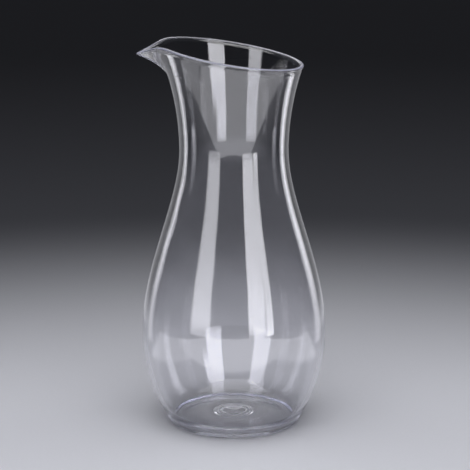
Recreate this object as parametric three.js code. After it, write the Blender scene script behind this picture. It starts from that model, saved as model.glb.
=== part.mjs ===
// A clear plastic carafe pitcher: a round foot and belly, a narrow waist to hold it by, and a flared mouth
// whose slanted rim is drawn out into a drooping pouring beak.
// The real one is a single moulding. It is divided here at its own mould parting lines, into the base, the
// blown body and the rim with its spout, which meet face to face on level rings.
// Millimetres, +Z up. The origin is on the turning axis, at the surface that the pitcher stands on.
// The beak points to -X.

import * as THREE from 'three';

// Outer shape, from the foot up. Radii are taken from the axis, and each rise from the level below it.
const STAND_RING_RADIUS = 36.9;
const HEEL_RISE = 12;
const HEEL_RADIUS = 44.6;
const BOWL_RISE = 40.5;
const BELLY_RADIUS = 54;
const NECK_RISE = 110;
const WAIST_RADIUS = 31.6;
const FLARE_RISE = 49.1;
const MOUTH_RADIUS = 39.6;

// How the outline bends: the lean of the wall where the heel meets the bowl, and the lengths over which the
// outline holds its direction at each end of a stretch.
const HEEL_LEAN_DEG = 26;
const HEEL_CORNER_REACH = 2.5;
const HEEL_WALL_REACH = 7;
const BOWL_LOWER_REACH = 10;
const BOWL_UPPER_REACH = 18;
const NECK_LOWER_REACH = 41;
const NECK_UPPER_REACH = 30;

// Thicknesses, measured square to the surface
const WALL = 2.6;
const FLOOR = 3.4;

// Underside: the flat ring that it stands on, the hollow inside that ring and the mark of the moulding gate
const STAND_RING_WIDTH = 5.2;
const PUSH_UP = 2;
const GATE_RADIUS = 8.1;
const GATE_DEPTH = 0.5;

// Rim: a plane tilted up towards the beak. The mould parts a little below its lowest point, at the back.
const RIM_TILT_DEG = 8.9;
const LIP_ROUND = 1.1;
const PARTING_DROP = 2.3;

// Beak: its width across the mouth, how far the tip stands out past the mouth, how far the tip droops below
// the rim, and the roundness of its nose seen from above
const BEAK_WIDTH = 48;
const BEAK_LENGTH = 13.5;
const BEAK_DROOP = 7;
const BEAK_NOSE = 2.5;

// Bends of the beak: how hollow its edges run from the mouth to the tip, how late the droop comes, and how
// the underside curls out of the neck. 1 is a straight line.
const BEAK_EDGE_BEND = 2.6;
const BEAK_DROOP_BEND = 2.6;
const BEAK_CURL = 1.4;

// Fineness: columns around the axis, rows along each stretch, and how far the rim's columns crowd to the beak
const COLUMNS = 64;
const GATE_ROWS = 2;
const BASE_ROWS = 5;
const BOWL_ROWS = 5;
const NECK_ROWS = 9;
const FLARE_ROWS = 5;
const RIM_ROWS = 7;
const LIP_ROWS = 4;
const BEAK_CROWDING = 0.7;
const RIM_FITTING_STEPS = 6;

// Levels worked out from the rises
const bellyHeight = HEEL_RISE + BOWL_RISE;
const waistHeight = bellyHeight + NECK_RISE;
const mouthHeight = waistHeight + FLARE_RISE;
const partingHeight = mouthHeight - PARTING_DROP;

// Places that the zones share
const heelLean = THREE.MathUtils.degToRad(HEEL_LEAN_DEG);
const heelTop = new THREE.Vector2(HEEL_RADIUS, HEEL_RISE);
const heelDirection = new THREE.Vector2(Math.sin(heelLean), Math.cos(heelLean));
const standRingInner = STAND_RING_RADIUS - STAND_RING_WIDTH;
const rimSlope = Math.tan(THREE.MathUtils.degToRad(RIM_TILT_DEG));

function point(radius, height) {
  return new THREE.Vector2(radius, height);
}

// The point that lies a distance away from another along a direction
function along(start, direction, distance) {
  return start.clone().addScaledVector(direction, distance);
}

// The wall's inner point at the same level as an outer one. The slope is the outline's run outwards per rise.
function innerPoint(outer, slope) {
  return point(outer.x - WALL * Math.hypot(1, slope), outer.y);
}

// Outer and inner points along a stretch of the outline
function wallAlong(curve, rows) {
  const outer = curve.getPoints(rows);
  const inner = outer.map((place, row) => {
    const tangent = curve.getTangent(row / rows);
    return innerPoint(place, tangent.x / tangent.y);
  });
  return { outer, inner };
}

// The flare opens from the waist as a parabola, which runs on above the mouth's lowest point.
function flareRadius(height) {
  const share = (height - waistHeight) / FLARE_RISE;
  return WAIST_RADIUS + (MOUTH_RADIUS - WAIST_RADIUS) * share ** 2;
}

function flareSlope(height) {
  return (2 * (MOUTH_RADIUS - WAIST_RADIUS) * (height - waistHeight)) / FLARE_RISE ** 2;
}

function clearPlastic() {
  return new THREE.MeshStandardMaterial({
    color: '#e8ebf2',
    roughness: 0.06,
    metalness: 0,
    transparent: true,
    opacity: 0.3,
  });
}

function moulding(name, geometry) {
  const mesh = new THREE.Mesh(geometry, clearPlastic());
  mesh.name = name;
  return mesh;
}

// Turns a profile of radius and height about the Z axis
function turned(profile) {
  return new THREE.LatheGeometry(profile, COLUMNS).rotateX(Math.PI / 2);
}

// Base: gate mark, hollow underside, stand ring, rounded heel, and a domed floor with a filleted corner
function makeBase() {
  const gateTop = PUSH_UP + GATE_DEPTH;
  const domeStart = GATE_RADIUS + GATE_DEPTH;
  const gate = [point(0, gateTop), point(GATE_RADIUS, gateTop)];
  const underside = new THREE.QuadraticBezierCurve(
    point(domeStart, PUSH_UP),
    point((domeStart + standRingInner) / 2, PUSH_UP),
    point(standRingInner, 0),
  );
  const heel = new THREE.CubicBezierCurve(
    point(STAND_RING_RADIUS, 0),
    point(STAND_RING_RADIUS + HEEL_CORNER_REACH, 0),
    along(heelTop, heelDirection, -HEEL_WALL_REACH),
    heelTop,
  );
  const wallFoot = innerPoint(heelTop, Math.tan(heelLean));
  const cornerDepth = (HEEL_RISE - FLOOR) / Math.cos(heelLean);
  const fillet = new THREE.QuadraticBezierCurve(
    wallFoot,
    along(wallFoot, heelDirection, -cornerDepth),
    point(standRingInner, FLOOR),
  );
  const floorTop = FLOOR + PUSH_UP;
  const floor = new THREE.QuadraticBezierCurve(
    point(standRingInner, FLOOR),
    point(standRingInner / 2, floorTop),
    point(0, floorTop),
  );
  return moulding('base', turned([
    ...gate,
    ...underside.getPoints(GATE_ROWS),
    ...heel.getPoints(BASE_ROWS),
    ...fillet.getPoints(BASE_ROWS),
    ...floor.getPoints(BASE_ROWS).slice(1),
  ]));
}

// Body: the blown wall from the heel out to the belly, in to the waist and out again to the parting line
function makeBody() {
  const belly = point(BELLY_RADIUS, bellyHeight);
  const waist = point(WAIST_RADIUS, waistHeight);
  const bowl = new THREE.CubicBezierCurve(
    heelTop,
    along(heelTop, heelDirection, BOWL_LOWER_REACH),
    point(BELLY_RADIUS, bellyHeight - BOWL_UPPER_REACH),
    belly,
  );
  const neck = new THREE.CubicBezierCurve(
    belly,
    point(BELLY_RADIUS, bellyHeight + NECK_LOWER_REACH),
    point(WAIST_RADIUS, waistHeight - NECK_UPPER_REACH),
    waist,
  );
  const flare = new THREE.QuadraticBezierCurve(
    waist,
    point(WAIST_RADIUS, (waistHeight + partingHeight) / 2),
    point(flareRadius(partingHeight), partingHeight),
  );
  const stretches = [wallAlong(bowl, BOWL_ROWS), wallAlong(neck, NECK_ROWS), wallAlong(flare, FLARE_ROWS)];
  const outer = stretches.flatMap((stretch, index) => stretch.outer.slice(index ? 1 : 0));
  const inner = stretches.flatMap((stretch, index) => stretch.inner.slice(index ? 1 : 0));
  return moulding('body', turned([...outer, ...inner.reverse(), outer[0]]));
}

// The level at which the tilted plane of the rim meets the flare, at an angle from the beak
function rimPlaneHeight(angle) {
  let height = mouthHeight;
  for (let step = 0; step < RIM_FITTING_STEPS; step += 1) {
    height = mouthHeight + rimSlope * (MOUTH_RADIUS + flareRadius(height) * Math.cos(angle));
  }
  return height;
}

// The beak's edges run in towards the tip by the square root of the distance sideways, with the start of that
// distance rounded off so that the two edges meet in a round nose.
function edgeRun(sideways) {
  return Math.sqrt(Math.hypot(sideways, BEAK_NOSE)) - Math.sqrt(BEAK_NOSE);
}

// How far an angle reaches into the beak: 0 where it leaves the round of the mouth, 1 at its tip
function beakShare(angle) {
  if (Math.cos(angle) < 0) return 0;
  const sideways = flareRadius(rimPlaneHeight(angle)) * Math.sin(angle);
  return Math.max(0, 1 - edgeRun(sideways) / edgeRun(BEAK_WIDTH / 2));
}

// The closed section of the rim at an angle from the beak: up the outside, over the round lip, down the
// inside and back across the parting face
function rimSection(angle) {
  const droop = BEAK_DROOP * beakShare(angle) ** BEAK_DROOP_BEND;
  const push = BEAK_LENGTH * beakShare(angle) ** BEAK_EDGE_BEND;
  const rise = rimPlaneHeight(angle) - droop - partingHeight;
  const outer = [];
  const inner = [];
  for (let row = 0; row <= RIM_ROWS; row += 1) {
    const share = row / RIM_ROWS;
    const height = partingHeight + share * rise;
    const slope = flareSlope(height) + (push * BEAK_CURL * share ** (BEAK_CURL - 1)) / rise;
    const place = point(flareRadius(height) + push * share ** BEAK_CURL, height);
    outer.push(place);
    inner.push(innerPoint(place, slope));
  }
  const lip = new THREE.EllipseCurve(
    (outer[RIM_ROWS].x + inner[RIM_ROWS].x) / 2,
    outer[RIM_ROWS].y,
    (outer[RIM_ROWS].x - inner[RIM_ROWS].x) / 2,
    LIP_ROUND,
    0,
    Math.PI,
  );
  return [...outer, ...lip.getPoints(LIP_ROWS).slice(1, -1), ...inner.reverse(), outer[0]];
}

// Rim and spout: a turned ring whose section changes with the angle, finer towards the beak
function makeRimAndSpout() {
  const rows = rimSection(0).length;
  const geometry = new THREE.LatheGeometry(rimSection(0), COLUMNS);
  const position = geometry.getAttribute('position');
  for (let column = 0; column <= COLUMNS; column += 1) {
    const turn = (2 * Math.PI * column) / COLUMNS;
    const angle = turn - BEAK_CROWDING * Math.sin(turn);
    rimSection(angle).forEach((place, row) => {
      const x = -place.x * Math.cos(angle);
      const y = -place.x * Math.sin(angle);
      position.setXYZ(column * rows + row, x, y, place.y);
    });
  }
  geometry.computeVertexNormals();
  return moulding('rim_and_spout', geometry);
}

const pitcher = new THREE.Group();
pitcher.name = 'pitcher';
pitcher.add(makeBase(), makeBody(), makeRimAndSpout());

export default pitcher;
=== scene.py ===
"""Dresses the carafe pitcher: one seamless blown moulding in clear polycarbonate on a pale studio floor.

Everything is in metres, in the part's own frame: +Z up along the turning axis, the beak towards -X, and the
surface that the pitcher stands on at Z = 0.
"""

import logging
import math
from dataclasses import dataclass
from enum import Enum

import bpy
import numpy as np
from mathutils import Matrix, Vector

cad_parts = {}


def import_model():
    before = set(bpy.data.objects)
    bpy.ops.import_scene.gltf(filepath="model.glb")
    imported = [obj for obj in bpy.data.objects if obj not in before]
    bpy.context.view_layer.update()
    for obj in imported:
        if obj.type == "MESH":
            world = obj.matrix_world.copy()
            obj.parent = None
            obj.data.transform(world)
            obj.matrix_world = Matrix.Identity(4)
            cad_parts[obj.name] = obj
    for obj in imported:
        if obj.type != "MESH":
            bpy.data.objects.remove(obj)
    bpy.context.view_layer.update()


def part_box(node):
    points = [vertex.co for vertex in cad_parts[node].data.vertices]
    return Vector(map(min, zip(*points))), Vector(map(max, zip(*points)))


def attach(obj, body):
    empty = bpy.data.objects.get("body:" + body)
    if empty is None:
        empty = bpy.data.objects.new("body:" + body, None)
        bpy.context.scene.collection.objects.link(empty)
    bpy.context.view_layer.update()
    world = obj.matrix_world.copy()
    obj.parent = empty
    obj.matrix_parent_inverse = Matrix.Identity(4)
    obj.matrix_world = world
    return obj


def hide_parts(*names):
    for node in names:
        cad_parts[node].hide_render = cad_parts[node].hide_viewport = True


LOG = logging.getLogger("pitcher")
MM = 0.001
# Point attribute that says how dull the piece is where its lip was trimmed, and how much painted glow the lip
# carries there.
TRIMMED_AND_PAINTED_GLOW = "trimmed_edge_and_painted_glow"
# Colour of the softboxes and the cards.
DAYLIGHT = "#F9F9FF"
# Sockets of a mix node that take two colours, and the one that gives their mix.
MIX_FIRST, MIX_SECOND, MIX_RESULT = 6, 7, 2


class CadNode(str, Enum):
    """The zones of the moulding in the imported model."""

    BASE = "base"
    BODY = "body"
    RIM = "rim_and_spout"


def linear_colour(code: str) -> tuple[float, float, float, float]:
    """Turns an sRGB hex colour into linear light by the curve of the sRGB standard.

    Args:
        code: six hex digits after a hash sign.

    Returns:
        Red, green, blue and an alpha of 1.
    """
    channels = [int(code[start:start + 2], 16) / 255 for start in (1, 3, 5)]
    linear = [c / 12.92 if c <= 0.04045 else ((c + 0.055) / 1.055) ** 2.4 for c in channels]
    return (*linear, 1.0)


def add_node(tree: bpy.types.NodeTree, kind: str, settings: dict, inputs: dict) -> bpy.types.Node:
    """Adds a node to a tree, sets its properties, and fills or links its inputs.

    Args:
        tree: the node tree.
        kind: the node's type name.
        settings: property names and their values.
        inputs: input names or numbers, each with a value or with the output socket that feeds it.

    Returns:
        The new node.
    """
    node = tree.nodes.new(kind)
    for name, value in settings.items():
        setattr(node, name, value)
    for name, value in inputs.items():
        if isinstance(value, bpy.types.NodeSocket):
            tree.links.new(value, node.inputs[name])
        else:
            node.inputs[name].default_value = value
    return node


def new_material(name: str) -> tuple[bpy.types.Material, bpy.types.NodeTree]:
    """Makes a material with an empty node tree.

    Args:
        name: the material's name.

    Returns:
        The material and its tree.
    """
    material = bpy.data.materials.new(name)
    material.use_nodes = True
    material.node_tree.nodes.clear()
    return material, material.node_tree


def bezier(controls: list[tuple[float, float]], steps: int) -> np.ndarray:
    """Points on a Bezier curve: its controls, each weighted by its Bernstein polynomial.

    Args:
        controls: radius and height of each control point.
        steps: how many points, ends included.

    Returns:
        An array of steps rows of radius and height.
    """
    share = np.linspace(0.0, 1.0, steps)[:, None]
    degree = len(controls) - 1
    weights = [math.comb(degree, k) * share**k * (1 - share) ** (degree - k) for k in range(degree + 1)]
    return sum(weight * np.array(control) for weight, control in zip(weights, controls))


def smooth_step(value: np.ndarray) -> np.ndarray:
    """Rises from 0 to 1 as the value does, level at both ends: 3 v^2 - 2 v^3."""
    held = np.clip(value, 0.0, 1.0)
    return held**2 * (3 - 2 * held)


def turned_mesh(name: str, angle: np.ndarray, radius: np.ndarray, height: np.ndarray,
                poles: tuple[float | None, float | None]) -> bpy.types.Object:
    """Makes a mesh from sections around the Z axis: x = -r cos(angle), y = -r sin(angle), z = height.

    The rows of a section run so that the outside lies to their right, seen with the angle growing away.

    Args:
        name: the object's name.
        angle: the angle of each column from -X, once around.
        radius: the radius at each column and row.
        height: the height at each column and row.
        poles: heights of the points on the axis that close the first and the last row, or None.

    Returns:
        The object, linked to the scene, with smooth faces.
    """
    columns, rows = radius.shape
    grid = np.stack([-radius * np.cos(angle)[:, None], -radius * np.sin(angle)[:, None], height], axis=-1)
    points = grid.reshape(-1, 3)
    here = np.arange(columns)[:, None] * rows + np.arange(rows - 1)[None, :]
    beside = (here + rows) % (columns * rows)
    faces = np.stack([here, beside, beside + 1, here + 1], axis=-1).reshape(-1, 4).tolist()
    column = np.arange(columns)
    following = (column + 1) % columns
    for pole, row, order in ((poles[0], 0, -1), (poles[1], rows - 1, 1)):
        if pole is not None:
            centre = np.full(columns, len(points))
            edge = np.stack([column * rows + row, following * rows + row], axis=-1)[:, ::order]
            faces += np.column_stack([edge, centre]).tolist()
            points = np.vstack([points, [0.0, 0.0, pole]])
    mesh = bpy.data.meshes.new(name)
    mesh.from_pydata(points.tolist(), [], faces)
    mesh.polygons.foreach_set("use_smooth", np.ones(len(mesh.polygons), dtype=bool))
    mesh.update()
    piece = bpy.data.objects.new(name, mesh)
    bpy.context.scene.collection.objects.link(piece)
    return piece


@dataclass(frozen=True)
class ClearPolycarbonate:
    """Clear polycarbonate, injection blown and polished by the mould.

    To the eye it is water clear with a cool cast where the view runs along the wall. The blowing leaves fine
    upright streaks that comb the reflections, and use leaves a haze of hairline scuffs, most on the foot. The
    lip is duller where the blown piece was trimmed, and it carries a painted glow: a diffuse lavender share
    that stands in for the light that runs up the wall.
    """

    name: str = "clear_polycarbonate"
    body_colour: str = "#FCFCFE"
    # The lip colour and the lip clearness make a painted glow: a diffuse lavender share on the lip stands in
    # for the light that runs up the wall.
    painted_lip_glow_colour: str = "#C8CAE2"
    cast_colour: str = "#A0A8D8"
    cast_density: float = 3.2
    ior: float = 1.585
    polish: tuple[float, float] = (0.012, 0.035)
    foot_roughness: float = 0.22
    lip_roughness: float = 0.36
    lip_clearness: float = 0.8
    scuff_width: float = 6 * MM
    scuff_detail: float = 6.0
    scuff_harshness: float = 0.7
    scuff_range: tuple[float, float] = (0.35, 0.75)
    streak_width: float = 1.6 * MM
    streak_length: float = 70 * MM
    streak_depth: float = 0.0025 * MM
    streak_detail: float = 2.0
    foot_wear: tuple[float, float] = (0.2 * MM, 1.2 * MM)

    def material(self) -> bpy.types.Material:
        """Builds the material.

        Returns:
            Clear plastic whose polish, streaks, foot wear, trimmed lip and the lip's painted glow follow the
            place on the piece.
        """
        material, tree = new_material(self.name)
        place = add_node(tree, "ShaderNodeTexCoord", {}, {}).outputs["Object"]
        across = 1 / self.streak_width
        combed = add_node(tree, "ShaderNodeMapping", {},
                          {"Vector": place, "Scale": (across, across, 1 / self.streak_length)})
        streaks = add_node(tree, "ShaderNodeTexNoise", {},
                           {"Vector": combed.outputs[0], "Scale": 1.0, "Detail": self.streak_detail})
        bump = add_node(tree, "ShaderNodeBump", {},
                        {"Distance": self.streak_depth, "Height": streaks.outputs[0]})
        scuffs = add_node(tree, "ShaderNodeTexNoise", {},
                          {"Vector": place, "Scale": 1 / self.scuff_width, "Detail": self.scuff_detail,
                           "Roughness": self.scuff_harshness})
        polish = add_node(tree, "ShaderNodeMapRange", {},
                          {"Value": scuffs.outputs[0], "From Min": self.scuff_range[0],
                           "From Max": self.scuff_range[1], "To Min": self.polish[0],
                           "To Max": self.polish[1]})
        level = add_node(tree, "ShaderNodeSeparateXYZ", {}, {"Vector": place}).outputs["Z"]
        wear = add_node(tree, "ShaderNodeMapRange", {"interpolation_type": "SMOOTHSTEP"},
                        {"Value": level, "From Min": self.foot_wear[0], "From Max": self.foot_wear[1],
                         "To Min": self.foot_roughness, "To Max": 0.0})
        worn = add_node(tree, "ShaderNodeMath", {"operation": "MAXIMUM"},
                        {0: polish.outputs[0], 1: wear.outputs[0]})
        trimmed = add_node(tree, "ShaderNodeAttribute", {"attribute_name": TRIMMED_AND_PAINTED_GLOW}, {})
        roughness = add_node(tree, "ShaderNodeMapRange", {},
                             {"Value": trimmed.outputs["Fac"], "To Min": worn.outputs[0],
                              "To Max": self.lip_roughness})
        # Painted glow: on the lip a share of the light is taken from clear transmission and given a diffuse
        # lavender colour, in place of the light that runs up the wall.
        clearness = add_node(tree, "ShaderNodeMapRange", {},
                             {"Value": trimmed.outputs["Fac"], "To Min": 1.0, "To Max": self.lip_clearness})
        colour = add_node(tree, "ShaderNodeMix", {"data_type": "RGBA"},
                          {"Factor": trimmed.outputs["Fac"], MIX_FIRST: linear_colour(self.body_colour),
                           MIX_SECOND: linear_colour(self.painted_lip_glow_colour)})
        surface = add_node(tree, "ShaderNodeBsdfPrincipled", {},
                           {"Base Color": colour.outputs[MIX_RESULT], "Roughness": roughness.outputs[0],
                            "IOR": self.ior, "Transmission Weight": clearness.outputs[0],
                            "Normal": bump.outputs[0]})
        cast = add_node(tree, "ShaderNodeVolumeAbsorption", {},
                        {"Color": linear_colour(self.cast_colour), "Density": self.cast_density})
        add_node(tree, "ShaderNodeOutputMaterial", {},
                 {"Surface": surface.outputs[0], "Volume": cast.outputs[0]})
        return material


@dataclass
class Outline:
    """Outer outline of the blown wall from the heel up, as it is without the beak.

    Radii are from the axis and heights from the floor. A lean or reach says how the outline leaves a point.
    """

    heel_radius: float
    heel_height: float
    belly_radius: float
    parting_height: float
    belly_rise: float = 40.5 * MM
    waist_rise: float = 110 * MM
    waist_radius: float = 31.6 * MM
    flare_rise: float = 49.1 * MM
    mouth_radius: float = 39.6 * MM
    heel_lean: float = math.radians(26)
    bowl_reaches: tuple[float, float] = (10 * MM, 18 * MM)
    neck_reaches: tuple[float, float] = (41 * MM, 30 * MM)
    softening: float = 2.5 * MM
    softening_spans: int = 3
    samples: int = 4000

    @classmethod
    def from_frame(cls) -> "Outline":
        """Takes the heel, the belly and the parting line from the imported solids.

        Returns:
            The outline.
        """
        heel_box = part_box(CadNode.BASE.value)[1]
        body_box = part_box(CadNode.BODY.value)[1]
        return cls(heel_box.x, heel_box.z, body_box.x, body_box.z)

    @property
    def belly_height(self) -> float:
        """Level of the widest ring."""
        return self.heel_height + self.belly_rise

    @property
    def waist_height(self) -> float:
        """Level of the narrowest ring."""
        return self.belly_height + self.waist_rise

    @property
    def mouth_height(self) -> float:
        """Level of the rim's lowest point, at the back."""
        return self.waist_height + self.flare_rise

    @property
    def heel_direction(self) -> tuple[float, float]:
        """Radius and height of one unit along the wall at the heel."""
        return math.sin(self.heel_lean), math.cos(self.heel_lean)

    def along_heel(self, radius: float, height: float, distance: float) -> tuple[float, float]:
        """Steps from a point along the wall's direction at the heel."""
        return radius + self.heel_direction[0] * distance, height + self.heel_direction[1] * distance

    def flare_radius(self, height: np.ndarray) -> np.ndarray:
        """Radius of the flare: the waist's, plus a share of the mouth's gain by the square of the rise."""
        share = (height - self.waist_height) / self.flare_rise
        return self.waist_radius + (self.mouth_radius - self.waist_radius) * share**2

    def radius_at(self, height: np.ndarray, top: float) -> np.ndarray:
        """Radius of the bowl, neck and flare, with its bends softened as a blown wall's are.

        The stretches are Bezier curves below the waist and a parabola above. A short Gaussian average along
        the height takes away the jumps in curvature where they meet, and fades out at both ends.

        Args:
            height: the levels, from the heel up to top.
            top: the level above which the flare is not averaged.

        Returns:
            The radius at each level.
        """
        heel = (self.heel_radius, self.heel_height)
        belly = (self.belly_radius, self.belly_height)
        waist = (self.waist_radius, self.waist_height)
        bowl = bezier([heel, self.along_heel(*heel, self.bowl_reaches[0]),
                       (belly[0], belly[1] - self.bowl_reaches[1]), belly], self.samples)
        neck = bezier([belly, (belly[0], belly[1] + self.neck_reaches[0]),
                       (waist[0], waist[1] - self.neck_reaches[1]), waist], self.samples)
        curve = np.vstack([bowl, neck])
        level = np.linspace(self.heel_height, top, self.samples)
        below = np.interp(level, curve[:, 1], curve[:, 0])
        plain = np.where(level < self.waist_height, below, self.flare_radius(level))
        step = level[1] - level[0]
        span = self.softening_spans * self.softening
        steps = math.ceil(span / step)
        reach = np.arange(-steps, steps + 1)
        weight = np.exp(-((reach * step / self.softening) ** 2) / 2)
        averaged = np.convolve(plain, weight / weight.sum(), mode="same")
        edge = np.minimum(level - self.heel_height, top - level)
        trust = smooth_step((edge - span) / span)
        return np.interp(height, level, plain + (averaged - plain) * trust)


@dataclass
class Beak:
    """The slanted rim and the pouring beak that is drawn out of it.

    An angle of 0 is at the beak's tip. The share of an angle is 0 on the round of the mouth and 1 at the tip.
    """

    outline: Outline
    tilt: float = math.radians(8.9)
    width: float = 48 * MM
    length: float = 13.5 * MM
    droop: float = 6.5 * MM
    nose: float = 1.4 * MM
    edge_bend: float = 2.3
    droop_bend: float = 1.7
    curl: float = 1.95
    root_drop: float = 4.3 * MM
    fitting_steps: int = 6

    @property
    def root_height(self) -> float:
        """Level at which the beak starts to swell out of the flare."""
        return self.outline.parting_height - self.root_drop

    def plane_height(self, angle: np.ndarray) -> np.ndarray:
        """Level at which the rim's tilted plane meets the flare, found by repeated substitution.

        Args:
            angle: the columns' angles.

        Returns:
            The height at each angle.
        """
        height = np.full_like(angle, self.outline.mouth_height)
        for _ in range(self.fitting_steps):
            reach = self.outline.mouth_radius + self.outline.flare_radius(height) * np.cos(angle)
            height = self.outline.mouth_height + math.tan(self.tilt) * reach
        return height

    def edge_run(self, sideways: np.ndarray) -> np.ndarray:
        """Run of the beak's edge: the square root of the distance sideways, with a rounded start."""
        return np.sqrt(np.hypot(sideways, self.nose)) - math.sqrt(self.nose)

    def share(self, angle: np.ndarray) -> np.ndarray:
        """How far each angle reaches into the beak: one minus the edge's run over its run at full width.

        Args:
            angle: the columns' angles.

        Returns:
            The share at each angle, 0 away from the beak.
        """
        sideways = self.outline.flare_radius(self.plane_height(angle)) * np.sin(angle)
        share = 1 - self.edge_run(sideways) / self.edge_run(np.array(self.width / 2))
        return np.where(np.cos(angle) > 0, np.maximum(share, 0.0), 0.0)

    def rim_height(self, angle: np.ndarray) -> np.ndarray:
        """Level of the rim's edge: the tilted plane, less the droop towards the tip."""
        return self.plane_height(angle) - self.droop * self.share(angle) ** self.droop_bend

    def push(self, angle: np.ndarray) -> np.ndarray:
        """How far the rim's edge stands out past the flare."""
        return self.length * self.share(angle) ** self.edge_bend


@dataclass
class Foot:
    """Underside, stand ring, heel and floor of the moulding, all turned about the axis."""

    outline: Outline
    ring_radius: float = 36.9 * MM
    ring_width: float = 5.2 * MM
    corner_reach: float = 2.5 * MM
    wall_reach: float = 7 * MM
    floor: float = 3.4 * MM
    push_up: float = 2 * MM
    gate_rings: tuple[float, float] = (10.0 * MM, 7.5 * MM)
    gate_steps: tuple[float, float] = (0.45 * MM, 0.7 * MM)
    gate_edge: float = 0.4 * MM
    nub_radius: float = 1.8 * MM
    nub_length: float = 1.1 * MM
    floor_ring: float = 0.26 * MM
    floor_ring_width: float = 0.55 * MM
    floor_dimple: float = 0.7 * MM
    floor_dimple_radius: float = 2.8 * MM
    gate_spacing: float = 0.3 * MM
    dome_samples: int = 200
    dome_rows: int = 12
    ring_rows: int = 5
    heel_rows: int = 16
    floor_rows: int = 14

    @property
    def ring_inner(self) -> float:
        """Inner radius of the flat ring."""
        return self.ring_radius - self.ring_width

    def underside(self) -> np.ndarray:
        """Outline from the centre of the underside out to the inner edge of the stand ring.

        The height is a dome, 1 - s^2 of the push-up, plus a smooth step up inside each gate ring, less a
        round nub at the centre. Rows are close together out to two edge widths past the outer ring.

        Returns:
            Rows of radius and height, without the centre point.
        """
        fine_end = self.gate_rings[0] + 2 * self.gate_edge
        fine = np.arange(self.gate_spacing, fine_end, self.gate_spacing)
        radius = np.concatenate([fine, np.linspace(fine_end, self.ring_inner, self.dome_rows)])
        start = self.gate_rings[1] + self.gate_edge
        run = np.maximum(0.0, radius - start) / (self.ring_inner - start)
        height = self.push_up * (1 - run**2)
        for ring, step in zip(self.gate_rings, self.gate_steps):
            height += step * smooth_step((ring - radius) / self.gate_edge)
        height -= self.nub_length * smooth_step(1 - radius / self.nub_radius)
        return np.column_stack([radius, height])

    def outside(self) -> np.ndarray:
        """Outline across the underside and the flat ring and up the round heel to its top.

        Returns:
            Rows of radius and height, without the centre point.
        """
        flat = np.linspace(self.ring_inner, self.ring_radius, self.ring_rows)[1:-1]
        top = (self.outline.heel_radius, self.outline.heel_height)
        heel = bezier([(self.ring_radius, 0.0), (self.ring_radius + self.corner_reach, 0.0),
                       self.outline.along_heel(*top, -self.wall_reach), top], self.heel_rows)
        return np.vstack([self.underside(), np.column_stack([flat, np.zeros_like(flat)]), heel])

    def inside(self, wall_radius: float) -> np.ndarray:
        """Radius and height from the foot of the inner wall round the fillet and over the domed floor.

        Over each gate ring the floor has a Gaussian ridge, and over the nub a Gaussian dimple. Rows are close
        together from four ridge widths past the outer ring inwards.

        Args:
            wall_radius: the inner wall's radius at the heel's top.

        Returns:
            The rows below the wall's foot, without the centre point.
        """
        wall_foot = (wall_radius, self.outline.heel_height)
        depth = (self.outline.heel_height - self.floor) / math.cos(self.outline.heel_lean)
        fillet = bezier([wall_foot, self.outline.along_heel(*wall_foot, -depth),
                         (self.ring_inner, self.floor)], self.floor_rows)
        top = self.floor + self.push_up
        dome = bezier([(0.0, top), (self.ring_inner / 2, top), (self.ring_inner, self.floor)],
                      self.dome_samples)
        fine_end = self.gate_rings[0] + 4 * self.floor_ring_width
        fine = np.arange(fine_end, self.gate_spacing, -self.gate_spacing)
        radius = np.concatenate([np.linspace(self.ring_inner, fine_end, self.floor_rows)[1:-1], fine])
        height = np.interp(radius, dome[:, 0], dome[:, 1])
        for ring in self.gate_rings:
            height += self.floor_ring * np.exp(-(((radius - ring) / self.floor_ring_width) ** 2))
        height -= self.floor_dimple * np.exp(-((radius / self.floor_dimple_radius) ** 2))
        return np.vstack([fillet[1:], np.column_stack([radius, height])])


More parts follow.
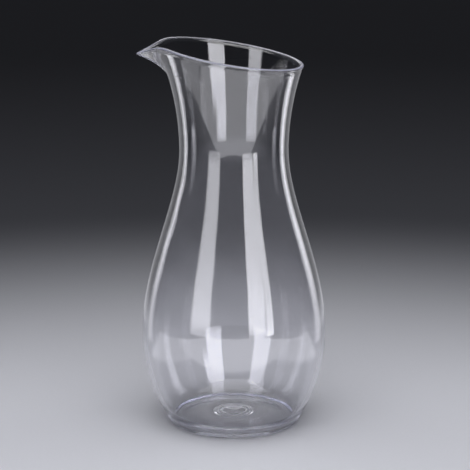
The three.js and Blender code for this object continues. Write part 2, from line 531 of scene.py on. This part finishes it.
@dataclass
class PitcherShell:
    """The whole moulding as one closed surface, inside and out: foot, blown wall, slanted rim and beak."""

    outline: Outline
    beak: Beak
    foot: Foot
    name: str = "pitcher_shell"
    wall: float = 2.6 * MM
    widest_wall: float = 1.25
    least_lean: float = 0.05
    beak_thinning: float = 0.3
    thinning_rise: float = 48 * MM
    lip_round: float = 0.9 * MM
    lip_squareness: float = 3.0
    lip_dulling_and_glow: float = 0.75
    least_dulling_and_glow: float = 0.35
    bead: float = 0.35 * MM
    bead_depth: float = 1.2 * MM
    parting_ridge: float = 0.018 * MM
    parting_width: float = 0.4 * MM
    parting_reach: float = 1 * MM
    wave: float = 0.02 * MM
    wave_modes: int = 5
    wave_turns: int = 2
    wave_length: float = 46 * MM
    wave_fade: float = 10.4 * MM
    columns: int = 216
    crowding: float = 0.7
    wall_rows: int = 92
    parting_rows: int = 21
    rim_rows: int = 34
    lip_rows: int = 12

    def angles(self) -> np.ndarray:
        """Angle of each column, crowded to the beak: turn - crowding sin(turn)."""
        turn = np.linspace(0.0, 2 * math.pi, self.columns, endpoint=False)
        return turn - self.crowding * np.sin(turn)

    def outer_wall(self, angle: np.ndarray) -> tuple[np.ndarray, np.ndarray]:
        """Outer wall from the heel's top to the edge of the rim.

        Rows are level up to just past the parting line, and above it they close up to the slanted rim. Over
        the beak's root the radius is the flare's, plus the beak's push times t^curl, where t is the share of
        the rise to the rim, plus a Gaussian bead under the rim and a Gaussian ridge at the parting line.

        Args:
            angle: the columns' angles.

        Returns:
            Radius and height at each column and row.
        """
        root = self.beak.root_height
        level = np.linspace(self.outline.heel_height, root, self.wall_rows)
        turned = self.outline.radius_at(level, root)
        rim = self.beak.rim_height(angle)[:, None]
        join = self.outline.parting_height + self.parting_reach
        low = np.linspace(root, join, self.parting_rows + 1)[None, 1:]
        high = join + np.linspace(0.0, 1.0, self.rim_rows + 1)[None, 1:] * (rim - join)
        height = np.hstack([np.broadcast_to(low, (len(angle), self.parting_rows)), high])
        share = (height - root) / (rim - root)
        radius = self.outline.flare_radius(height) + self.beak.push(angle)[:, None] * share**self.beak.curl
        radius += self.bead * np.exp(-((rim - height) / self.bead_depth) ** 2)
        level_gap = (height - self.outline.parting_height) / self.parting_width
        radius += self.parting_ridge * np.exp(-(level_gap**2))
        shape = (len(angle), self.wall_rows)
        return (np.hstack([np.broadcast_to(turned, shape), radius]),
                np.hstack([np.broadcast_to(level, shape), height]))

    def wall_stretch(self, angle: np.ndarray, radius: np.ndarray, height: np.ndarray) -> np.ndarray:
        """How much wider than its thickness the wall is along the radius.

        It is one over the outward part of the surface's normal, the cross product of the steps around and up,
        and it eases into a limit so that the inside of the beak stays smooth.

        Args:
            angle: the columns' angles.
            radius: the outer radius at each column and row.
            height: the height at each column and row.

        Returns:
            The stretch at each column and row, 1 where the wall is upright.
        """
        outward = np.stack([-np.cos(angle), -np.sin(angle), np.zeros_like(angle)], axis=-1)[:, None, :]
        place = radius[..., None] * outward
        place[..., 2] = height
        around = np.roll(place, -1, axis=0) - np.roll(place, 1, axis=0)
        upward = np.gradient(place, axis=1)
        normal = np.cross(around, upward)
        lean = np.sum(normal * outward, axis=-1) / np.linalg.norm(normal, axis=-1)
        room = self.widest_wall - 1
        return 1 + room * (1 - np.exp(-(1 / np.maximum(lean, self.least_lean) - 1) / room))

    def waviness(self, angle: np.ndarray, height: np.ndarray) -> np.ndarray:
        """Slow waves that blowing leaves on the inner wall: a sum of cosines turning as they climb.

        Args:
            angle: the columns' angles.
            height: the height at each column and row.

        Returns:
            What to add to the inner radius at each column and row, 0 at the heel and from the beak's root up.
        """
        total = np.zeros_like(height)
        golden = math.pi * (3 - math.sqrt(5))
        for mode in range(1, self.wave_modes + 1):
            climb = 2 * math.pi * height / self.wave_length * (1 + mode / self.wave_modes)
            total += np.cos((mode + self.wave_turns) * angle[:, None] + climb + mode * golden)
        low = smooth_step((height - self.outline.heel_height) / self.wave_fade)
        high = smooth_step((self.beak.root_height - height) / self.wave_fade)
        return self.wave * total / math.sqrt(self.wave_modes) * low * high

    @property
    def lip_turn(self) -> np.ndarray:
        """Angle of each row of the lip, 0 at its outer side and pi at its inner side, without those two."""
        return np.linspace(0.0, math.pi, self.lip_rows + 2)[None, 1:-1]

    def lip(self, outer: np.ndarray, inner: np.ndarray, height: np.ndarray) -> tuple[np.ndarray, np.ndarray]:
        """Rows over the edge of the rim: half of a superellipse, between a box and a circle.

        Args:
            outer: the outer radius at the edge of each column.
            inner: the inner radius there.
            height: the height there.

        Returns:
            Radius and height at each column and row.
        """
        power = 2 / self.lip_squareness
        across = np.cos(self.lip_turn)
        radius = (outer + inner) / 2 + (outer - inner) / 2 * np.sign(across) * np.abs(across) ** power
        return radius, height + self.lip_round * np.sin(self.lip_turn) ** power

    def mark_lip(self, piece: bpy.types.Object, rows: int, start: int) -> None:
        """Writes how dull each point is and how much painted glow it carries: 0 but on the lip, and there
        most on the outer side.

        Args:
            piece: the built surface.
            rows: how many rows a column has.
            start: the first row of the lip.
        """
        marks = np.zeros((self.columns, rows))
        # The outer side takes the most dullness and painted glow, and the inner side stays clearest.
        dulling_and_glow = self.lip_dulling_and_glow * (1 + np.cos(self.lip_turn))
        marks[:, start:start + self.lip_rows] = np.clip(dulling_and_glow, self.least_dulling_and_glow, 1.0)
        poles = [0.0, 0.0]
        attribute = piece.data.attributes.new(TRIMMED_AND_PAINTED_GLOW, "FLOAT", "POINT")
        attribute.data.foreach_set("value", np.concatenate([marks.ravel(), poles]))

    def build(self) -> bpy.types.Object:
        """Builds the closed surface from the centre of the underside, over the lip, to that of the floor.

        Returns:
            The piece, undressed and with its lip marked.
        """
        angle = self.angles()
        outer, height = self.outer_wall(angle)
        stretch = self.wall_stretch(angle, outer, height)
        climb = smooth_step((height - self.beak.root_height) / self.thinning_rise)
        drawn = self.beak.share(angle)[:, None] * climb
        thickness = self.wall * stretch * (1 - self.beak_thinning * drawn)
        inner = outer - thickness + self.waviness(angle, height)
        lip_radius, lip_height = self.lip(outer[:, -1:], inner[:, -1:], height[:, -1:])
        outside = self.foot.outside()[:-1]
        inside = self.foot.inside(float(inner[:, 0].mean()))
        radius = np.hstack([self.all_round(outside[:, 0]), outer, lip_radius, inner[:, ::-1],
                            self.all_round(inside[:, 0])])
        level = np.hstack([self.all_round(outside[:, 1]), height, lip_height, height[:, ::-1],
                           self.all_round(inside[:, 1])])
        poles = (float(outside[0, 1]), float(inside[-1, 1]))
        piece = turned_mesh(self.name, angle, radius, level, poles)
        self.mark_lip(piece, radius.shape[1], len(outside) + outer.shape[1])
        return piece

    def all_round(self, row: np.ndarray) -> np.ndarray:
        """Repeats a turned row of values at every column."""
        return np.broadcast_to(row, (self.columns, len(row)))

    def dress(self, piece: bpy.types.Object, finish: ClearPolycarbonate) -> None:
        """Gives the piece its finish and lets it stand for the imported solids.

        Args:
            piece: the built surface.
            finish: the clear plastic.
        """
        piece.data.materials.append(finish.material())
        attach(piece, "root")
        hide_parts(*(node.value for node in CadNode))


@dataclass(frozen=True)
class PaperWithPaintedFalloff:
    """Matt uncoated backdrop paper, pale where the pitcher stands, with a painted falloff of light: painted
    shade greys it towards the wall.

    Its grain is drawn coarser than real paper's, so that it can show.
    """

    name: str = "paper_with_painted_falloff"
    pale_colour: str = "#CDCED6"
    # The far colour is painted shade, where the light is made to fall off away from the pitcher.
    painted_shade_colour: str = "#45464C"
    centre: tuple[float, float, float] = (0.0, -0.25, 0.0)
    painted_falloff: tuple[float, float] = (0.28, 0.78)
    grain: float = 1.5 * MM
    grain_detail: float = 3.0
    grain_contrast: float = 0.03
    roughness: float = 0.6

    def material(self) -> bpy.types.Material:
        """Builds the material.

        Returns:
            Paper whose colour fades with the distance from a point, a painted pool of light with painted
            shade beyond it, with a fine grain.
        """
        material, tree = new_material(self.name)
        place = add_node(tree, "ShaderNodeTexCoord", {}, {}).outputs["Object"]
        # Painted light: the colour is pale round the centre and painted darker further out, as if the light
        # fell off.
        distance = add_node(tree, "ShaderNodeVectorMath", {"operation": "DISTANCE"},
                            {0: place, 1: self.centre})
        painted_falloff = add_node(tree, "ShaderNodeMapRange", {"interpolation_type": "SMOOTHSTEP"},
                        {"Value": distance.outputs["Value"], "From Min": self.painted_falloff[0],
                         "From Max": self.painted_falloff[1]})
        paper = add_node(tree, "ShaderNodeMix", {"data_type": "RGBA"},
                         {"Factor": painted_falloff.outputs[0], MIX_FIRST: linear_colour(self.pale_colour),
                          MIX_SECOND: linear_colour(self.painted_shade_colour)})
        grain = add_node(tree, "ShaderNodeTexNoise", {},
                         {"Vector": place, "Scale": 1 / self.grain, "Detail": self.grain_detail})
        value = add_node(tree, "ShaderNodeMapRange", {},
                         {"Value": grain.outputs[0], "To Min": 1 - self.grain_contrast,
                          "To Max": 1 + self.grain_contrast})
        colour = add_node(tree, "ShaderNodeHueSaturation", {},
                          {"Value": value.outputs[0], "Color": paper.outputs[MIX_RESULT]})
        surface = add_node(tree, "ShaderNodeBsdfPrincipled", {},
                           {"Base Color": colour.outputs[0], "Roughness": self.roughness})
        add_node(tree, "ShaderNodeOutputMaterial", {}, {"Surface": surface.outputs[0]})
        return material


@dataclass
class Backdrop:
    """A round studio floor that sweeps up into a wall."""

    name: str = "studio_floor"
    drop: float = 0.2 * MM
    floor_radius: float = 1.3
    cove: float = 0.7
    wall_top: float = 2.6
    columns: int = 128
    rows: int = 24

    def build(self, paper: PaperWithPaintedFalloff) -> bpy.types.Object:
        """Builds the sweep from the wall's top down a quarter circle and in to the centre.

        Args:
            paper: the finish.

        Returns:
            The stage object.
        """
        bend = np.linspace(0.0, math.pi / 2, self.rows)
        cove_radius = self.floor_radius + self.cove * np.cos(bend)
        cove_height = self.cove * (1 - np.sin(bend))
        floor = np.linspace(self.floor_radius, 0.0, self.rows)[1:-1]
        radius = np.concatenate([cove_radius[:1], cove_radius, floor])
        height = np.concatenate([[self.wall_top], cove_height, np.zeros_like(floor)]) - self.drop
        shape = (self.columns, len(radius))
        angle = np.linspace(0.0, 2 * math.pi, self.columns, endpoint=False)
        stage = turned_mesh(self.name, angle, np.broadcast_to(radius, shape), np.broadcast_to(height, shape),
                            (None, -self.drop))
        stage.data.materials.append(paper.material())
        return stage


def make_lamp(name: str, place: Vector, turn: tuple[float, float, float], size: tuple[float, float],
              radiance: float) -> bpy.types.Object:
    """Makes a rectangular area lamp whose power is pi times its radiance times its area.

    Args:
        name: the lamp's name.
        place: its centre.
        turn: its rotation from facing straight down.
        size: its width and height.
        radiance: how bright its face is, where 1 is the white of the picture.

    Returns:
        The lamp's object, unseen by the camera itself.
    """
    data = bpy.data.lights.new(name, "AREA")
    data.shape = "RECTANGLE"
    data.size, data.size_y = size
    data.energy = math.pi * radiance * size[0] * size[1]
    lamp = bpy.data.objects.new(name, data)
    lamp.location = place
    lamp.rotation_euler = turn
    lamp.visible_camera = False
    bpy.context.scene.collection.objects.link(lamp)
    return lamp


def seen_mirrored(tree: bpy.types.NodeTree) -> bpy.types.NodeSocket:
    """Adds a factor that is 0 for light that has only passed through clear walls, and otherwise 1.

    By it the pitcher shows a lamp mirrored, and never as a panel behind the wall.

    Args:
        tree: the lamp's node tree.

    Returns:
        The socket that gives the factor.
    """
    path = add_node(tree, "ShaderNodeLightPath", {}, {})
    mirrored = add_node(tree, "ShaderNodeMath", {"operation": "GREATER_THAN"},
                        {0: path.outputs["Glossy Depth"], 1: 0.0})
    outside = add_node(tree, "ShaderNodeMath", {"operation": "LESS_THAN"},
                       {0: path.outputs["Transmission Depth"], 1: 1.0})
    seen = add_node(tree, "ShaderNodeMath", {"operation": "MAXIMUM"},
                    {0: mirrored.outputs[0], 1: outside.outputs[0]})
    return seen.outputs[0]


def soften_face(data: bpy.types.AreaLight, feather: tuple[float, float], foot: float,
                rise: tuple[float, float]) -> None:
    """Dims a lamp's face towards its edges and towards its foot, each by a smooth step.

    Args:
        data: the lamp.
        feather: how far in from the edges it dims, as shares of its width and of its height.
        foot: the brightness at the lower level, as a share of that at the upper one.
        rise: the lower and the upper level.
    """
    data.use_nodes = True
    tree = data.node_tree
    tree.nodes.clear()
    spot = add_node(tree, "ShaderNodeNewGeometry", {}, {})
    level = add_node(tree, "ShaderNodeSeparateXYZ", {}, {"Vector": spot.outputs["Position"]}).outputs["Z"]
    strength = add_node(tree, "ShaderNodeMapRange", {"interpolation_type": "SMOOTHSTEP"},
                        {"Value": level, "From Min": rise[0], "From Max": rise[1], "To Min": foot})
    across = add_node(tree, "ShaderNodeSeparateXYZ", {}, {"Vector": spot.outputs["Parametric"]})
    middle = 0.5
    factors = [seen_mirrored(tree)]
    for axis, reach in zip(("X", "Y"), feather):
        inset = add_node(tree, "ShaderNodeMath", {"operation": "PINGPONG"},
                         {0: across.outputs[axis], 1: middle})
        edge = add_node(tree, "ShaderNodeMapRange", {"interpolation_type": "SMOOTHSTEP"},
                        {"Value": inset.outputs[0], "From Max": reach})
        factors.append(edge.outputs[0])
    for factor in factors:
        strength = add_node(tree, "ShaderNodeMath", {"operation": "MULTIPLY"},
                            {0: strength.outputs[0], 1: factor})
    glow = add_node(tree, "ShaderNodeEmission", {},
                    {"Color": linear_colour(DAYLIGHT), "Strength": strength.outputs[0]})
    add_node(tree, "ShaderNodeOutputLight", {}, {"Surface": glow.outputs[0]})


class Reach(Enum):
    """Where the pitcher mirrors a lamp: on faces its light meets first, behind a clear wall, or on both."""

    FIRST_FACE = "first_face"
    BEHIND_WALL = "behind_wall"
    BOTH = "both"


@dataclass(frozen=True)
class Softbox:
    """An upright soft lamp that faces the pitcher's axis and lights the pitcher alone.

    Azimuth is in degrees from the camera's side, positive to its right. The foot is the brightness at the
    lower edge, as a share of that at the top of its rise, which is a share of its height. The feather is how
    far in from its edges it dims, as shares of its width and height.
    """

    name: str
    azimuth: float
    distance: float
    bottom: float
    top: float
    width: float
    radiance: float
    foot: float = 1.0
    rise: float = 1.0
    feather: tuple[float, float] = (0.12, 0.04)
    reach: Reach = Reach.BOTH

    def build(self) -> bpy.types.Object:
        """Makes the lamp, dimmed towards its edges and its foot, and mirrored where its reach says.

        Returns:
            The lamp's object.
        """
        turn = math.radians(self.azimuth)
        place = Vector((self.distance * math.sin(turn), -self.distance * math.cos(turn),
                        (self.bottom + self.top) / 2))
        lamp = make_lamp(self.name, place, (math.pi / 2, 0.0, turn), (self.width, self.top - self.bottom),
                         self.radiance)
        lamp.visible_transmission = self.reach is not Reach.FIRST_FACE
        lamp.visible_glossy = self.reach is not Reach.BEHIND_WALL
        full = self.bottom + self.rise * (self.top - self.bottom)
        soften_face(lamp.data, self.feather, self.foot, (self.bottom, full))
        return lamp


@dataclass(frozen=True)
class LowCard:
    """A bright card that lies beside the pitcher and shows in the flare, which leans out over it."""

    name: str
    across: tuple[float, float]
    along: tuple[float, float]
    radiance: float
    height: float = 4 * MM
    feather: tuple[float, float] = (0.03, 0.05)

    def build(self) -> bpy.types.Object:
        """Makes the lamp, facing up, mirrored only on faces that its light meets first.

        Returns:
            The lamp's object.
        """
        place = Vector((sum(self.across) / 2, sum(self.along) / 2, self.height))
        size = (self.across[1] - self.across[0], self.along[1] - self.along[0])
        lamp = make_lamp(self.name, place, (math.pi, 0.0, 0.0), size, self.radiance)
        lamp.visible_transmission = False
        soften_face(lamp.data, self.feather, 1.0, (0.0, self.height))
        return lamp


@dataclass
class Studio:
    """Plain soft light: a wide lamp overhead, and softboxes and cards that the clear walls mirror."""

    overhead_size: float = 1.4
    overhead_height: float = 1.0
    overhead_forward: float = 0.4
    overhead_radiance: float = 2.6
    surround_colour: str = "#8C8E93"
    surround_strength: float = 0.3
    bounces: int = 32
    cards: tuple[LowCard, ...] = (
        LowCard("front_card", across=(-0.365, 0.365), along=(-0.66, -0.12), radiance=2.3),
        LowCard("right_card", across=(0.12, 0.365), along=(-0.147, 0.06), radiance=1.5,
                feather=(0.15, 0.13)),
        LowCard("left_card", across=(-0.365, -0.12), along=(-0.147, 0.06), radiance=1.3,
                feather=(0.15, 0.13)),
    )
    softboxes: tuple[Softbox, ...] = (
        Softbox("front_right", azimuth=29, distance=0.62, bottom=0.004, top=0.62, width=0.264, radiance=5.0,
                foot=0.5, rise=0.1, feather=(0.087, 0.01)),
        Softbox("right_wing", azimuth=44.3, distance=0.62, bottom=0.004, top=0.62, width=0.115, radiance=5.6,
                foot=1.7, rise=0.55, feather=(0.2, 0.01), reach=Reach.FIRST_FACE),
        Softbox("wing_within", azimuth=44.3, distance=0.64, bottom=0.12, top=0.64, width=0.119, radiance=5.0,
                foot=0.0, rise=0.45, feather=(0.2, 0.01), reach=Reach.BEHIND_WALL),
        Softbox("front_left", azimuth=-41.5, distance=0.60, bottom=0.004, top=0.80, width=0.30, radiance=3.8,
                foot=0.5, rise=0.1, feather=(0.12, 0.01)),
        Softbox("side_right", azimuth=117, distance=0.195, bottom=0.003, top=0.15, width=0.055, radiance=2.8,
                foot=0.2),
        Softbox("side_left", azimuth=-117, distance=0.196, bottom=0.003, top=0.15, width=0.045, radiance=2.3,
                foot=0.2),
        Softbox("edge_right", azimuth=142, distance=0.22, bottom=0.003, top=0.19, width=0.17, radiance=0.5,
                feather=(0.2, 0.1), reach=Reach.FIRST_FACE),
        Softbox("edge_left", azimuth=-142, distance=0.22, bottom=0.003, top=0.19, width=0.17, radiance=0.5,
                feather=(0.2, 0.1), reach=Reach.FIRST_FACE),
        Softbox("behind", azimuth=180, distance=1.30, bottom=0.45, top=1.05, width=1.20, radiance=2.0,
                feather=(0.3, 0.3), reach=Reach.FIRST_FACE),
    )

    def build(self, piece: bpy.types.Object) -> None:
        """Makes the lamps and the dim surround.

        Args:
            piece: the pitcher, which alone is lit by the softboxes and the cards.
        """
        above = Vector((0.0, -self.overhead_forward, self.overhead_height))
        make_lamp("overhead", above, (0.0, 0.0, 0.0), (self.overhead_size, self.overhead_size),
                  self.overhead_radiance)
        lit = bpy.data.collections.new("mirrors_softboxes")
        lit.objects.link(piece)
        for source in (*self.cards, *self.softboxes):
            source.build().light_linking.receiver_collection = lit
        cycles = bpy.context.scene.cycles
        cycles.max_bounces = cycles.glossy_bounces = cycles.transmission_bounces = self.bounces
        world = bpy.data.worlds.new("surround")
        world.use_nodes = True
        world.node_tree.nodes.clear()
        glow = add_node(world.node_tree, "ShaderNodeBackground", {},
                        {"Color": linear_colour(self.surround_colour), "Strength": self.surround_strength})
        add_node(world.node_tree, "ShaderNodeOutputWorld", {}, {"Surface": glow.outputs[0]})
        bpy.context.scene.world = world


@dataclass
class PhotoCamera:
    """A long lens in front of the pitcher, looking straight along +Y and a little down."""

    aside: float = 0.62 * MM
    distance: float = 1.23108
    height: float = 0.42389
    aim_height: float = 111.8 * MM
    lens: float = 166.9
    sensor: float = 36.0

    def build(self) -> bpy.types.Object:
        """Makes the camera and hands it to the scene.

        Returns:
            The camera's object.
        """
        data = bpy.data.cameras.new("photo_camera")
        data.lens = self.lens
        data.sensor_width = self.sensor
        camera = bpy.data.objects.new("photo_camera", data)
        camera.location = (self.aside, -self.distance, self.height)
        pitch = math.atan2(self.height - self.aim_height, self.distance)
        camera.rotation_euler = (math.pi / 2 - pitch, 0.0, 0.0)
        bpy.context.scene.collection.objects.link(camera)
        bpy.context.scene.camera = camera
        return camera


def main() -> None:
    """Loads the frame, builds the pitcher and sets the stage."""
    logging.basicConfig(level=logging.INFO, format="%(name)s: %(message)s")
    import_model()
    PhotoCamera().build()
    outline = Outline.from_frame()
    shell = PitcherShell(outline, Beak(outline), Foot(outline))
    piece = shell.build()
    shell.dress(piece, ClearPolycarbonate())
    LOG.info("%s has %d faces", piece.name, len(piece.data.polygons))
    Backdrop().build(PaperWithPaintedFalloff())
    Studio().build(piece)
    bpy.context.scene.view_settings.view_transform = "Standard"


if __name__ == "__main__":
    main()
